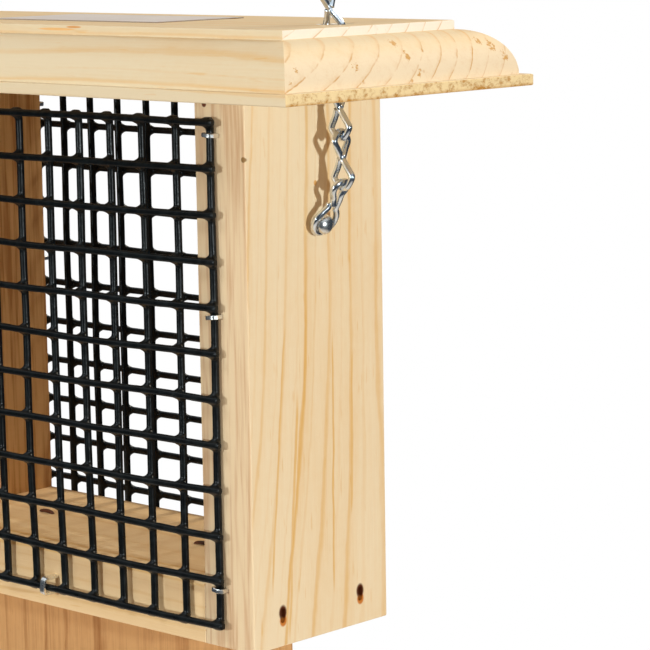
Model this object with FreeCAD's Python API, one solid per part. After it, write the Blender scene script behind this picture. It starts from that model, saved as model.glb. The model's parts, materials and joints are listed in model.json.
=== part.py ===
import FreeCAD, Part
import math
import os

# Hanging suet-cake feeder: a two-sided wire cage between pine boards, a moulded
# roof that slides up its two chains for filling, and a tail prop underneath.
# Millimetres. +X to the right along the roof, +Y to the back, +Z up.
# The origin is the top of the S-hook's eye, the point that it hangs from.

# ---- boards --------------------------------------------------------------
BOARD = 19.0            # thickness of every board but the roof
BAY_WIDTH = 126.0       # between the side boards
DEPTH = 55.0            # side boards and floor, front to back
SIDE_HEIGHT = 153.5
PROP_WIDTH = 122.8
PROP_LENGTH = 178.0

# ---- roof ----------------------------------------------------------------
ROOF_LENGTH = 238.0
ROOF_DEPTH = 100.0
LIP = 3.2               # square lip at the roof's lower edge
LEDGE = 2.8             # flat step between the lip's edge and the round
ROUND = 12.7            # quarter-round moulding
FILLET = 2.6            # upright step above the round
ROOF_THICK = LIP + ROUND + FILLET
CHAIN_HOLE_X = 90.4
CHAIN_HOLE_R = 5.2
LABEL = (72.0, 35.0, 0.3)
LABEL_Y = 2.5

# ---- wire mesh -----------------------------------------------------------
PITCH = 12.7            # half-inch squares
WIRE_R = 1.15           # over the vinyl coat
WIRE_STEP = 1.65        # how far the crossing wires stand in front of the uprights
WIRES = 12              # each way
STUB = 2.6              # cut ends of the crossing wires past the outermost uprights
STUB_UPRIGHT = 1.0      # cut ends of the uprights past the outermost crossing wires
BOW = 1.3               # how far the front panel bellies out between its side staples
MESH_GAP = 0.05
FRONT_MESH = (70.2, 146.6)   # rightmost upright, top crossing wire above the base
BACK_MESH = (73.4, 149.4)

# ---- fasteners -----------------------------------------------------------
STAPLE_CROWN = 4.4      # over the legs
BOTTOM_CROWN = 5.6      # the one on the floor board's edge
STAPLE_WIDE = 1.2
STAPLE_THIN = 0.9
STAPLE_LEG = 9.0        # leg length in the wood
EDGE_STAPLES = (16.9, 93.2, 143.0)   # heights above the base
BOTTOM_STAPLE = (0.2, 0.4)           # place along the floor's edge, height over the lowest crossing wire
NAIL_HEIGHT = 8.8
NAIL_SPREAD = 16.0      # either side of mid depth
NAIL_HEAD = (1.8, 4.2, 1.2)
NAIL_SHANK = 1.6
NAIL_LENGTH = 38.0
NAIL_SUNK = 1.4
PROP_STAPLE_X = 34.5
PROP_STAPLE_PROUD = 0.9   # the crowns weren't driven home
PROP_STAPLE_LEG = 34.0
PROP_STAPLE_CROWN = 7.0

# ---- jack chain ----------------------------------------------------------
CHAIN_WIRE_R = 0.85
LINK_PITCH = 13.5
UPPER_LOOP_R = 2.45     # to the wire's centre, loop that lies front to back
LOWER_LOOP_R = 2.95     # to the wire's centre, loop that lies side to side
WAIST_SHARE = 0.47      # of the link's length, from its top to its waist
CLOSE = 0.05            # room between touching links
PIVOT_CLOSE = 0.2       # extra room where two runs of chain pivot
LOWER_RUN_LINKS = 9     # drawn down through the roof when it is lifted
UPPER_RUN_LINKS = 16
CHAIN_X = 90.3          # where the chain leaves the roof's top
CHAIN_BEND = 2.9        # depth of that bend below the roof's top
ANCHOR_LINKS = 3

# ---- chain screw and the link round it -----------------------------------
SCREW_Z = 117.0
SCREW_SHANK_R = 1.5
SCREW_HEAD_R = 2.8
SCREW_HEAD_GAP = 3.0    # the head stands this far off the board
SCREW_HEAD_THICK = 2.4
SCREW_LENGTH = 16.0
ANCHOR_LEAN = 32.0      # degrees, the lowest link leans out from the board
ANCHOR_EYE_R = 4.05
ANCHOR_LENGTH = 17.4
ANCHOR_WAIST = 10.5

# ---- ring and S-hook -----------------------------------------------------
RING_R = 12.0
RING_WIRE_R = 1.2
HOOK_WIRE_R = 1.5
HOOK_UPPER_R = 9.0
HOOK_LOWER_R = 6.5
HOOK_SPAN = 26.0        # between the two bends' centres
HOOK_CLOSE = 0.3        # room between hook, ring and top links
HOOK_TIP = 35.0         # degrees, how far each bend runs on past level

# ---- derived: where everything hangs --------------------------------------
LINK_LENGTH = LINK_PITCH + 2.0 * CHAIN_WIRE_R + CLOSE
HOOK_UPPER_Z = -(HOOK_UPPER_R - HOOK_WIRE_R)
HOOK_LOWER_Z = HOOK_UPPER_Z - HOOK_SPAN
HOOK_BOTTOM_Z = HOOK_LOWER_Z - HOOK_LOWER_R
RING_TOP_Z = HOOK_BOTTOM_Z + HOOK_WIRE_R + RING_WIRE_R + HOOK_CLOSE
RING_Z = RING_TOP_Z - RING_R
TOP_LINK_START = RING_R - RING_WIRE_R - CHAIN_WIRE_R - HOOK_CLOSE
TOP_PIVOT = TOP_LINK_START + LINK_LENGTH - CHAIN_WIRE_R - CLOSE
RUN_LENGTH = (UPPER_RUN_LINKS + LOWER_RUN_LINKS) * LINK_PITCH
REST_LEAN = math.asin(CHAIN_X / (TOP_PIVOT + RUN_LENGTH))
BEND_Z = RING_Z - (TOP_PIVOT + RUN_LENGTH) * math.cos(REST_LEAN)
ROOF_TOP_Z = BEND_Z + CHAIN_BEND
BASE_Z = ROOF_TOP_Z - ROOF_THICK - SIDE_HEIGHT
LIFT = LOWER_RUN_LINKS * LINK_PITCH

SIDES = {"right": 1.0, "left": -1.0}
FACES = {"front": -1.0, "back": 1.0}


def vec(x, y, z):
    return FreeCAD.Vector(x, y, z)


def box(x0, x1, y0, y1, z0, z1):
    """A block between two corners."""
    return Part.makeBox(x1 - x0, y1 - y0, z1 - z0, vec(x0, y0, z0))


def rod(start, end, radius):
    """A round bar from one point to another."""
    run = end.sub(start)
    return Part.makeCylinder(radius, run.Length, start, run)


def bent_wire(edges, radius):
    """A round wire swept along joined edges that are tangent to each other."""
    path = Part.Wire(edges)
    first = path.OrderedEdges[0]
    start = first.valueAt(first.FirstParameter)
    along = first.tangentAt(first.FirstParameter)
    ring = Part.Wire(Part.makeCircle(radius, start, along))
    return path.makePipeShell([ring], True, False)


def mirrored(shape, side):
    """The right-hand shape as it is, or its mirror image for the left."""
    if side > 0.0:
        return shape
    return shape.mirror(vec(0, 0, 0), vec(1, 0, 0))


# ---- boards ---------------------------------------------------------------
def side_board(side):
    inner = BAY_WIDTH / 2.0
    board = box(inner, inner + BOARD, -DEPTH / 2.0, DEPTH / 2.0, BASE_Z, BASE_Z + SIDE_HEIGHT)
    return mirrored(board, side)


def floor_board():
    half = BAY_WIDTH / 2.0
    return box(-half, half, -DEPTH / 2.0, DEPTH / 2.0, BASE_Z, BASE_Z + BOARD)


def tail_prop():
    half = PROP_WIDTH / 2.0
    return box(-half, half, -BOARD / 2.0, BOARD / 2.0, BASE_Z - PROP_LENGTH, BASE_Z)


def moulding_profile(half):
    """The roof's cross-section, half its width to each side of the middle."""
    base = ROOF_TOP_Z - ROOF_THICK
    inset = LEDGE + ROUND
    centre_z = base + LIP
    diagonal = ROUND * math.sqrt(0.5)
    edges = []
    points = [vec(-half, 0, centre_z), vec(-half, 0, base), vec(half, 0, base), vec(half, 0, centre_z)]
    for start, end in zip(points, points[1:]):
        edges.append(Part.makeLine(start, end))
    for sign in (1.0, -1.0):
        foot = vec(sign * (half - LEDGE), 0, centre_z)
        middle = vec(sign * (half - inset + diagonal), 0, centre_z + diagonal)
        head = vec(sign * (half - inset), 0, centre_z + ROUND)
        top = vec(sign * (half - inset), 0, ROOF_TOP_Z)
        edges.append(Part.makeLine(vec(sign * half, 0, centre_z), foot))
        edges.append(Part.Arc(foot, middle, head).toShape())
        edges.append(Part.makeLine(head, top))
    edges.append(Part.makeLine(vec(inset - half, 0, ROOF_TOP_Z), vec(half - inset, 0, ROOF_TOP_Z)))
    return Part.Face(Part.Wire(Part.__sortEdges__(edges)))


def roof_board():
    """Two moulded bars crossed: their common part has mitred corners."""
    across = moulding_profile(ROOF_LENGTH / 2.0)
    across.translate(vec(0, -ROOF_DEPTH / 2.0, 0))
    long_ends = across.extrude(vec(0, ROOF_DEPTH, 0))
    along = moulding_profile(ROOF_DEPTH / 2.0)
    along.rotate(vec(0, 0, 0), vec(0, 0, 1), 90.0)
    along.translate(vec(-ROOF_LENGTH / 2.0, 0, 0))
    roof = long_ends.common(along.extrude(vec(ROOF_LENGTH, 0, 0)))
    for side in SIDES.values():
        foot = vec(side * CHAIN_HOLE_X, 0, ROOF_TOP_Z - ROOF_THICK - 1.0)
        head = vec(side * CHAIN_HOLE_X, 0, ROOF_TOP_Z + 1.0)
        roof = roof.cut(rod(foot, head, CHAIN_HOLE_R))
    return roof


def roof_label():
    width, deep, thick = LABEL
    y0 = LABEL_Y - deep / 2.0
    return box(-width / 2.0, width / 2.0, y0, y0 + deep, ROOF_TOP_Z, ROOF_TOP_Z + thick)


# ---- wire mesh -------------------------------------------------------------
def upright_place(layout, count):
    """Where an upright stands, counted from the right."""
    return layout[0] - count * PITCH


def bow_at(face, layout, x):
    """How far the panel stands off its boards there. Only the front one bellies out."""
    if face > 0.0:
        return 0.0
    half = (WIRES - 1) * PITCH / 2.0
    share = (x - (layout[0] - half)) / half
    return BOW * (1.0 - share * share)


def mesh_panel(face, layout):
    """Uprights against the boards, crossing wires welded in front of them."""
    top = layout[1]
    right_end = upright_place(layout, 0) + STUB
    left_end = upright_place(layout, WIRES - 1) - STUB
    upper_end = BASE_Z + top + STUB_UPRIGHT
    lower_end = BASE_Z + top - (WIRES - 1) * PITCH - STUB_UPRIGHT
    uprights = []
    crossers = []
    for count in range(WIRES):
        x = upright_place(layout, count)
        z = BASE_Z + top - count * PITCH
        upright_y = face * (DEPTH / 2.0 + MESH_GAP + WIRE_R + bow_at(face, layout, x))
        uprights.append(rod(vec(x, upright_y, lower_end), vec(x, upright_y, upper_end), WIRE_R))
        points = []
        for run in (left_end, (left_end + right_end) / 2.0 + 5.0, right_end):
            cross_y = DEPTH / 2.0 + MESH_GAP + WIRE_R + WIRE_STEP + bow_at(face, layout, run)
            points.append(vec(run, face * cross_y, z))
        if face > 0.0:
            crossers.append(rod(points[0], points[2], WIRE_R))
        else:
            crossers.append(bent_wire([Part.Arc(*points).toShape()], WIRE_R))
    return uprights[0].multiFuse(uprights[1:] + crossers)


# ---- fasteners --------------------------------------------------------------
def staple(crown, leg, upright_crown):
    """A staple driven along +Y: its crown is outside, at y from -STAPLE_THIN to 0."""
    half = crown / 2.0
    wide = STAPLE_WIDE / 2.0
    shape = box(-half, half, -STAPLE_THIN, 0.0, -wide, wide)
    for x in (-half, half - STAPLE_THIN):
        shape = shape.fuse(box(x, x + STAPLE_THIN, -STAPLE_THIN, leg, -wide, wide))
    shape = shape.removeSplitter()
    if upright_crown:
        shape.rotate(vec(0, 0, 0), vec(0, 1, 0), 90.0)
    return shape


def placed_staple(face, x, z, crown, stand_off, upright_crown):
    """A mesh staple with its crown stand_off in front of the boards' edges."""
    shape = staple(crown, STAPLE_LEG + stand_off, upright_crown)
    shape.translate(vec(x, -(DEPTH / 2.0 + stand_off), BASE_Z + z))
    if face > 0.0:
        shape = shape.mirror(vec(0, 0, 0), vec(0, 1, 0))
    return shape


def edge_staples(face, layout, side):
    """Three staples over an outermost upright."""
    x = upright_place(layout, 0 if side > 0.0 else WIRES - 1)
    stand_off = MESH_GAP + 2.0 * WIRE_R + MESH_GAP
    return [placed_staple(face, x, z, STAPLE_CROWN, stand_off, False) for z in EDGE_STAPLES]


def bottom_staple(face):
    """One staple over the lowest crossing wire, near the middle."""
    layout = FRONT_MESH if face < 0.0 else BACK_MESH
    x, above = BOTTOM_STAPLE
    stand_off = MESH_GAP + bow_at(face, layout, x) + WIRE_STEP + 2.0 * WIRE_R + MESH_GAP
    lowest_wire = layout[1] - (WIRES - 1) * PITCH
    return [placed_staple(face, x, lowest_wire + above, BOTTOM_CROWN, stand_off, True)]


def floor_nails(side):
    """Two brads through a side board into the floor's end, heads sunk."""
    wide, tall, thick = NAIL_HEAD
    outer = BAY_WIDTH / 2.0 + BOARD - NAIL_SUNK
    half = NAIL_SHANK / 2.0
    nails = []
    for y in (-NAIL_SPREAD, NAIL_SPREAD):
        z = BASE_Z + NAIL_HEIGHT
        head = box(outer - thick, outer, y - wide / 2.0, y + wide / 2.0, z - tall / 2.0, z + tall / 2.0)
        shank = box(outer - NAIL_LENGTH, outer - thick, y - half, y + half, z - half, z + half)
        nails.append(mirrored(head.fuse(shank), side))
    return nails


def nail_pockets(side):
    """What the sunk heads leave open at the board's face."""
    wide, tall = NAIL_HEAD[:2]
    outer = BAY_WIDTH / 2.0 + BOARD
    pockets = []
    for y in (-NAIL_SPREAD, NAIL_SPREAD):
        z = BASE_Z + NAIL_HEIGHT
        x0 = outer - NAIL_SUNK
        pocket = box(x0, outer + 1.0, y - wide / 2.0, y + wide / 2.0, z - tall / 2.0, z + tall / 2.0)
        pockets.append(mirrored(pocket, side))
    return pockets


def prop_staples():
    """Two long staples down through the floor into the prop, crowns a little proud."""
    staples = []
    for x in (-PROP_STAPLE_X, PROP_STAPLE_X):
        shape = staple(PROP_STAPLE_CROWN, PROP_STAPLE_LEG, False)
        shape.rotate(vec(0, 0, 0), vec(1, 0, 0), -90.0)
        shape.translate(vec(x, 0, BASE_Z + BOARD + PROP_STAPLE_PROUD - STAPLE_THIN))
        staples.append(shape)
    return staples


# ---- chain -------------------------------------------------------------------
def loop(waist, far, radius, across):
    """A teardrop loop: an arc round `far`, and two straights that meet at `waist`.

    `across` is the direction of the loop's width.
    """
    run = far.sub(waist)
    reach = run.Length - radius
    along = run.normalize()
    centre = waist.add(along * reach)
    half_angle = math.asin(radius / reach)
    tangent = reach * math.cos(half_angle)
    sides = []
    for sign in (1.0, -1.0):
        reach_along = along * (tangent * math.cos(half_angle))
        reach_across = across * (sign * tangent * math.sin(half_angle))
        sides.append(waist.add(reach_along).add(reach_across))
    end = centre.add(along * radius)
    arc = Part.Arc(sides[0], end, sides[1]).toShape()
    shape = bent_wire([arc], CHAIN_WIRE_R)
    for point in sides:
        shape = shape.fuse(rod(waist, point, CHAIN_WIRE_R))
    return shape


def link(top, bottom, waist_share, upper_radius, lower_radius, lower_across):
    """One jack-chain link between the wire centres of its two ends."""
    run = bottom.sub(top)
    waist = top.add(run * waist_share)
    upper = loop(waist, top, upper_radius, vec(0, 1, 0))
    lower = loop(waist, bottom, lower_radius, lower_across)
    knot = Part.makeSphere(CHAIN_WIRE_R * 1.25, waist)
    return upper.fuse([lower, knot])


def chain_run(start, along, count, first_room=0.0):
    """Links in a straight line from `start`, the seat of the first link's top wire."""
    side_to_side = vec(-along.z, 0, along.x)
    links = []
    for number in range(count):
        room = first_room if number == 0 else 0.0
        seat = start.add(along * (number * LINK_PITCH))
        top = seat.sub(along * (CHAIN_WIRE_R + room))
        bottom = seat.add(along * (LINK_PITCH + CHAIN_WIRE_R + CLOSE))
        links.append(link(top, bottom, WAIST_SHARE, UPPER_LOOP_R, LOWER_LOOP_R, side_to_side))
    return links


def on_chain_line(distance):
    """A point on the right chain's line, this far from the ring's centre."""
    x = distance * math.sin(REST_LEAN)
    return vec(x, 0, RING_Z - distance * math.cos(REST_LEAN))


def chain_direction():
    return vec(math.sin(REST_LEAN), 0, -math.cos(REST_LEAN))


def top_link(side):
    top = on_chain_line(TOP_LINK_START)
    bottom = on_chain_line(TOP_PIVOT + CHAIN_WIRE_R + CLOSE)
    along = chain_direction()
    across = vec(-along.z, 0, along.x)
    return mirrored(link(top, bottom, WAIST_SHARE, UPPER_LOOP_R, LOWER_LOOP_R, across), side)


def upper_run(side):
    links = chain_run(on_chain_line(TOP_PIVOT), chain_direction(), UPPER_RUN_LINKS, PIVOT_CLOSE)
    return [mirrored(shape, side) for shape in links]


def lower_run(side):
    start = on_chain_line(TOP_PIVOT + UPPER_RUN_LINKS * LINK_PITCH)
    links = chain_run(start, chain_direction(), LOWER_RUN_LINKS, PIVOT_CLOSE)
    return [mirrored(shape, side) for shape in links]


def screw_seat():
    """Centre of the wire that bears under the screw's shank, at the board."""
    x = BAY_WIDTH / 2.0 + BOARD + CHAIN_WIRE_R + 0.5
    return vec(x, 0, BASE_Z + SCREW_Z - SCREW_SHANK_R - CHAIN_WIRE_R - 0.1)


def anchor_links(side):
    """The leaning link round the screw, and the links from it to the bend."""
    lean = math.radians(ANCHOR_LEAN)
    up = vec(math.sin(lean), 0, math.cos(lean))
    bottom = screw_seat()
    top = bottom.add(up * ANCHOR_LENGTH)
    share = 1.0 - ANCHOR_WAIST / ANCHOR_LENGTH
    links = [link(top, bottom, share, UPPER_LOOP_R, ANCHOR_EYE_R, vec(0, 1, 0))]
    bend = vec(CHAIN_X, 0, BEND_Z)
    foot = vec(top.x, 0, top.z - CHAIN_WIRE_R)
    run = foot.sub(bend)
    pitch = run.Length / ANCHOR_LINKS
    along = run.normalize()
    across = vec(-along.z, 0, along.x)
    for number in range(ANCHOR_LINKS):
        seat = bend.add(along * (number * pitch))
        room = PIVOT_CLOSE if number == 0 else 0.0
        first = seat.sub(along * (CHAIN_WIRE_R + room))
        last = seat.add(along * (pitch + CHAIN_WIRE_R + CLOSE))
        links.append(link(first, last, WAIST_SHARE, UPPER_LOOP_R, LOWER_LOOP_R, across))
    return [mirrored(shape, side) for shape in links]


def chain_screw(side):
    """Dome-head screw standing a little off the side board."""
    face = BAY_WIDTH / 2.0 + BOARD
    z = BASE_Z + SCREW_Z
    under_head = face + SCREW_HEAD_GAP
    tip = under_head - SCREW_LENGTH
    shank = rod(vec(tip + 3.0, 0, z), vec(under_head, 0, z), SCREW_SHANK_R)
    point = Part.makeCone(0.3, SCREW_SHANK_R, 3.0, vec(tip, 0, z), vec(1, 0, 0))
    ball_r = (SCREW_HEAD_R ** 2 + SCREW_HEAD_THICK ** 2) / (2.0 * SCREW_HEAD_THICK)
    ball = Part.makeSphere(ball_r, vec(under_head + SCREW_HEAD_THICK - ball_r, 0, z))
    keep = rod(vec(under_head, 0, z), vec(under_head + 2.0 * SCREW_HEAD_THICK, 0, z), SCREW_HEAD_R)
    return mirrored(shank.fuse([point, ball.common(keep)]).removeSplitter(), side)


# ---- ring and S-hook -----------------------------------------------------------
def hanging_ring():
    return Part.makeTorus(RING_R, RING_WIRE_R, vec(0, 0, RING_Z), vec(0, 1, 0))


def s_hook():
    """Two bends joined by the straight that is tangent to both, in the YZ plane."""
    slope = math.asin((HOOK_UPPER_R + HOOK_LOWER_R) / HOOK_SPAN)
    upper = vec(0, 0, HOOK_UPPER_Z)
    lower = vec(0, 0, HOOK_LOWER_Z)

    def on_bend(centre, radius, angle):
        return centre.add(vec(0, radius * math.cos(angle), radius * math.sin(angle)))

    tip = math.radians(HOOK_TIP)
    join = math.pi + slope
    crest = math.pi / 2.0
    upper_arc = Part.Arc(
        on_bend(upper, HOOK_UPPER_R, -tip),
        on_bend(upper, HOOK_UPPER_R, crest),
        on_bend(upper, HOOK_UPPER_R, join),
    ).toShape()
    lower_arc = Part.Arc(
        on_bend(lower, HOOK_LOWER_R, slope),
        on_bend(lower, HOOK_LOWER_R, -crest),
        on_bend(lower, HOOK_LOWER_R, math.pi - tip),
    ).toShape()
    straight = Part.makeLine(on_bend(upper, HOOK_UPPER_R, join), on_bend(lower, HOOK_LOWER_R, slope))
    return bent_wire([upper_arc, straight, lower_arc], HOOK_WIRE_R)


# ---- assembly -----------------------------------------------------------------
def build():
    parts = {
        "s_hook": [s_hook()],
        "hanging_ring": [hanging_ring()],
        "chain_top_links": [top_link(side) for side in SIDES.values()],
        "roof_board": [roof_board()],
        "roof_label": [roof_label()],
        "mesh_front": [mesh_panel(FACES["front"], FRONT_MESH)],
        "mesh_back": [mesh_panel(FACES["back"], BACK_MESH)],
        "prop_staples": prop_staples(),
    }
    floor = floor_board()
    prop = tail_prop()
    for name, side in SIDES.items():
        parts["chain_" + name + "_upper"] = upper_run(side)
        parts["chain_" + name + "_lower"] = lower_run(side)
        parts["chain_" + name + "_anchor"] = anchor_links(side)
        parts["chain_screw_" + name] = [chain_screw(side)]
        parts["floor_nails_" + name] = floor_nails(side)
    layouts = {"front": FRONT_MESH, "back": BACK_MESH}
    for face_name, face in FACES.items():
        for name, side in SIDES.items():
            parts["staples_" + face_name + "_" + name] = edge_staples(face, layouts[face_name], side)
        parts["staple_" + face_name + "_bottom"] = bottom_staple(face)

    for name, side in SIDES.items():
        drilled = nail_pockets(side) + parts["floor_nails_" + name] + parts["chain_screw_" + name]
        for face_name in FACES:
            drilled = drilled + parts["staples_" + face_name + "_" + name]
        parts["side_board_" + name] = [side_board(side).cut(drilled)]
        floor = floor.cut(parts["floor_nails_" + name])
    for face_name in FACES:
        floor = floor.cut(parts["staple_" + face_name + "_bottom"])
    parts["floor_board"] = [floor.cut(parts["prop_staples"])]
    parts["tail_prop"] = [prop.cut(parts["prop_staples"])]
    return parts


def write(parts):
    os.makedirs("parts", exist_ok=True)
    for name, solids in sorted(parts.items()):
        shape = Part.makeCompound([solid for item in solids for solid in item.Solids])
        shape.exportStep("parts/" + name + ".step")
        print(name, len(shape.Solids), round(shape.Volume, 1), shape.isValid())


write(build())
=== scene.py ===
import json
import math

import bmesh
import bpy
from mathutils import Matrix, Vector, noise

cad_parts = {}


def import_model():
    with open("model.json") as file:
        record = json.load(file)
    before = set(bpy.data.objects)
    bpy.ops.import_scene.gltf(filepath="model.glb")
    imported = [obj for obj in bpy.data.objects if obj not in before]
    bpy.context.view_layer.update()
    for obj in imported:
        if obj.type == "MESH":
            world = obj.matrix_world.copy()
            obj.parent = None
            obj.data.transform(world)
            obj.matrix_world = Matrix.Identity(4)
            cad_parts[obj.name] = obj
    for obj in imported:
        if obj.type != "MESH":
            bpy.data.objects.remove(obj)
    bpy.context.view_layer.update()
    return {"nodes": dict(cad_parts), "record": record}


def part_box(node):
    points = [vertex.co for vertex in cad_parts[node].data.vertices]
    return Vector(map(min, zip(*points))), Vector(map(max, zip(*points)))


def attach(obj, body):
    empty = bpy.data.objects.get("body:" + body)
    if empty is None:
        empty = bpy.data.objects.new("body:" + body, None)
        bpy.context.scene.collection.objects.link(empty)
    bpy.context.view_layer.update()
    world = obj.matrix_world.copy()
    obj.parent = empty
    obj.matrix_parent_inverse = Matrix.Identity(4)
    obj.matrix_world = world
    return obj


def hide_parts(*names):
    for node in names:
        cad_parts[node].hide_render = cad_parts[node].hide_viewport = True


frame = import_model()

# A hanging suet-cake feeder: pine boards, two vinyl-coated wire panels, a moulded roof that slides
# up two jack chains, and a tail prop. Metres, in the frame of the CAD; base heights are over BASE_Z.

MM = 0.001

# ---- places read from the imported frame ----
ROOF_LO, ROOF_HI = (Vector(c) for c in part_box("roof_board"))
RIGHT_LO, RIGHT_HI = (Vector(c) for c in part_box("side_board_right"))
LEFT_LO, LEFT_HI = (Vector(c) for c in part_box("side_board_left"))
FLOOR_LO, FLOOR_HI = (Vector(c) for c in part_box("floor_board"))
PROP_LO, PROP_HI = (Vector(c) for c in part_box("tail_prop"))
BASE_Z = FLOOR_LO.z
ROOF_TOP = ROOF_HI.z
JOINTS = {joint["name"]: joint for joint in frame["record"]["behaviour"]["joints"]}

# ---- the design's driving values: metres, degrees and counts ----
LIP = 3.2 * MM
LEDGE = 2.8 * MM
ROUND = 12.7 * MM
CHAIN_HOLE_X = 90.4 * MM
CHAIN_HOLE_R = 5.2 * MM
PITCH = 12.7 * MM
WIRE_R = 1.15 * MM
WIRE_STEP = 1.65 * MM
MESH_GAP = 0.05 * MM
WIRES = 12
STUB = 2.6 * MM
STUB_UPRIGHT = 1.0 * MM
CHAIN_WIRE_R = 0.85 * MM
UPPER_LOOP_R = 2.45 * MM
LOWER_LOOP_R = 2.95 * MM
LINK_PITCH = 13.5 * MM
WAIST_SHARE = 0.47
SCREW_Z = 117.0 * MM
SCREW_HEAD_R = 2.8 * MM
SCREW_HEAD_GAP = 3.0 * MM
SCREW_HEAD_THICK = 2.4 * MM
SCREW_SHANK_R = 1.5 * MM
ANCHOR_LEAN = 32.0
ANCHOR_EYE_R = 4.05 * MM
ANCHOR_LENGTH = 17.4 * MM
ANCHOR_WAIST = 10.5 * MM
ANCHOR_LINKS = 3
UPPER_RUN_LINKS = 16
LOWER_RUN_LINKS = 9
NAIL_HEIGHT = 8.8 * MM
NAIL_SPREAD = 16.0 * MM
NAIL_SUNK = 1.4 * MM
NAIL_HEAD = (1.8 * MM, 4.2 * MM)
PROP_STAPLE_X = 34.5 * MM
PROP_STAPLE_CROWN = 7.0 * MM
PROP_STAPLE_PROUD = 0.9 * MM
PROP_STAPLE_LEG = 34.0 * MM
STAPLE_CROWN = 4.4 * MM
BOTTOM_CROWN = 5.6 * MM
STAPLE_WIDE = 1.2 * MM
STAPLE_THIN = 0.9 * MM
EDGE_STAPLES = (16.9 * MM, 93.2 * MM, 143.0 * MM)
FRONT_MESH = (70.2 * MM, 146.6 * MM)
BACK_MESH = (73.4 * MM, 149.4 * MM)
BOTTOM_STAPLE = (0.2 * MM, 0.4 * MM)
EDGE_EASE = 0.4 * MM
EDGE_SEGMENTS = 3
PROP_EASE = 0.6 * MM
ROOF_EASE = 0.35 * MM
ROUND_STEPS = 20

# ---- values that only the visible pieces have: metres, degrees, shares and counts ----
WIRE_LOOK = 0.97            # uprights and crossing wires, as shares of WIRE_R
CROSSING_LOOK = 0.93
WIRE_SIDES = 12
WIRE_STEPS = 48
WIRE_SWAY = 0.45 * MM       # how far a wire strays from straight
BOW = 1.9 * MM              # the front panel's belly
BOW_DIP = (0.2 * MM, 42.0 * MM, 24.0 * MM)   # where the bottom staple holds it, reach along and up
DIP_SHARE = 0.7
WEB_ROUND = 0.34 * MM       # the coat pooled in a crossing's corners
WEB_THICK = 1.2 * MM
WEB_STEPS = 5
FUSE_VOXEL = 0.36 * MM
FUSE_RELAX = 4
FUSE_KEEP = 0.35
CROSSING_SEED = 40
BACK_SEED = 20
CHAIN_WIRE_LOOK = 0.92 * MM
BOTTOM_WIDE = 1.9 * MM
STAPLE_TURN = 1.25 * MM
STAPLE_LEG = 9.0 * MM
STAPLE_CHAMFER = 0.14 * MM
STAPLE_BEND_STEPS = 6
STAPLE_SKEWS = (7.0, -6.0, 4.0)
PROP_STAPLE_RISE = 0.15 * MM
PROP_STAPLE_SKEW = 4.0
POCKET_DEEPER = 0.5 * MM
POCKET_ROUND = 0.45         # of the nail head's width
EASE_KNEE = 0.3             # where an eased edge's middle point lies, as a share of the ease
HOLE_SIDES = 32
HOLE_CUTTER = 30.0 * MM
SCREW_SUNK = 3.0 * MM
SCREW_EDGE = 0.25 * MM
SCREW_UNDER = 0.94
SCREW_SIDES = 28
SCREW_DOME_STEPS = 8
SWAY_PER_METRE = 28.0       # how quickly a wire's sway changes along it
LINK_SIDES = 10
ANCHOR_SIDES = 12
RING_GAP = 0.3 * MM         # the top links hang this far inside the ring
SEAT_GAP = 0.1 * MM         # the anchor hangs this far under the screw
ANCHOR_OFF_BOARD = 0.5 * MM


# ---- mesh helpers ----
def smooth_faces(mesh):
    mesh.polygons.foreach_set("use_smooth", [True] * len(mesh.polygons))


def link_mesh(name, mesh, smooth):
    obj = bpy.data.objects.new(name, mesh)
    bpy.context.scene.collection.objects.link(obj)
    if smooth:
        smooth_faces(mesh)
    return obj


def new_object(name, verts, faces, smooth=False):
    mesh = bpy.data.meshes.new(name)
    mesh.from_pydata([tuple(v) for v in verts], [], faces)
    mesh.validate()
    mesh.update()
    return link_mesh(name, mesh, smooth)


def object_from_bmesh(name, bm):
    mesh = bpy.data.meshes.new(name)
    bm.to_mesh(mesh)
    bm.free()
    return link_mesh(name, mesh, False)


def apply_modifiers(obj):
    """Replaces the object's mesh by what its modifiers make of it."""
    graph = bpy.context.evaluated_depsgraph_get()
    made = bpy.data.meshes.new_from_object(obj.evaluated_get(graph))
    old = obj.data
    obj.modifiers.clear()
    obj.data = made
    bpy.data.meshes.remove(old)


def block(name, lo, hi, ease=EDGE_EASE):
    """A board: a box with eased edges."""
    bm = bmesh.new()
    bmesh.ops.create_cube(bm, size=1.0)
    lo, hi = Vector(lo), Vector(hi)
    for vert in bm.verts:
        vert.co = vert.co * (hi - lo) + (lo + hi) / 2.0
    bmesh.ops.bevel(bm, geom=list(bm.edges), offset=ease, segments=EDGE_SEGMENTS, profile=0.5,
                    affect="EDGES")
    return object_from_bmesh(name, bm)


def cut(obj, cutters):
    """Cuts the cutters out of the object and removes them."""
    for cutter in cutters:
        modifier = obj.modifiers.new("cut", "BOOLEAN")
        modifier.operation = "DIFFERENCE"
        modifier.solver = "EXACT"
        modifier.object = cutter
    apply_modifiers(obj)
    for cutter in cutters:
        mesh = cutter.data
        bpy.data.objects.remove(cutter)
        bpy.data.meshes.remove(mesh)


def ring_faces(rings, sides, flip=False):
    """Quads between neighbouring rings of vertices."""
    faces = []
    for a in range(0, (rings - 1) * sides, sides):
        b = a + sides
        for k in range(sides):
            j = (k + 1) % sides
            faces.append((a + k, b + k, b + j, a + j) if flip else (a + k, a + j, b + j, b + k))
    return faces


def tangents_of(points):
    """The direction of travel at each point."""
    padded = [points[0]] + points + [points[-1]]
    return [(ahead - behind).normalized() for behind, ahead in zip(padded, padded[2:])]


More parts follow.
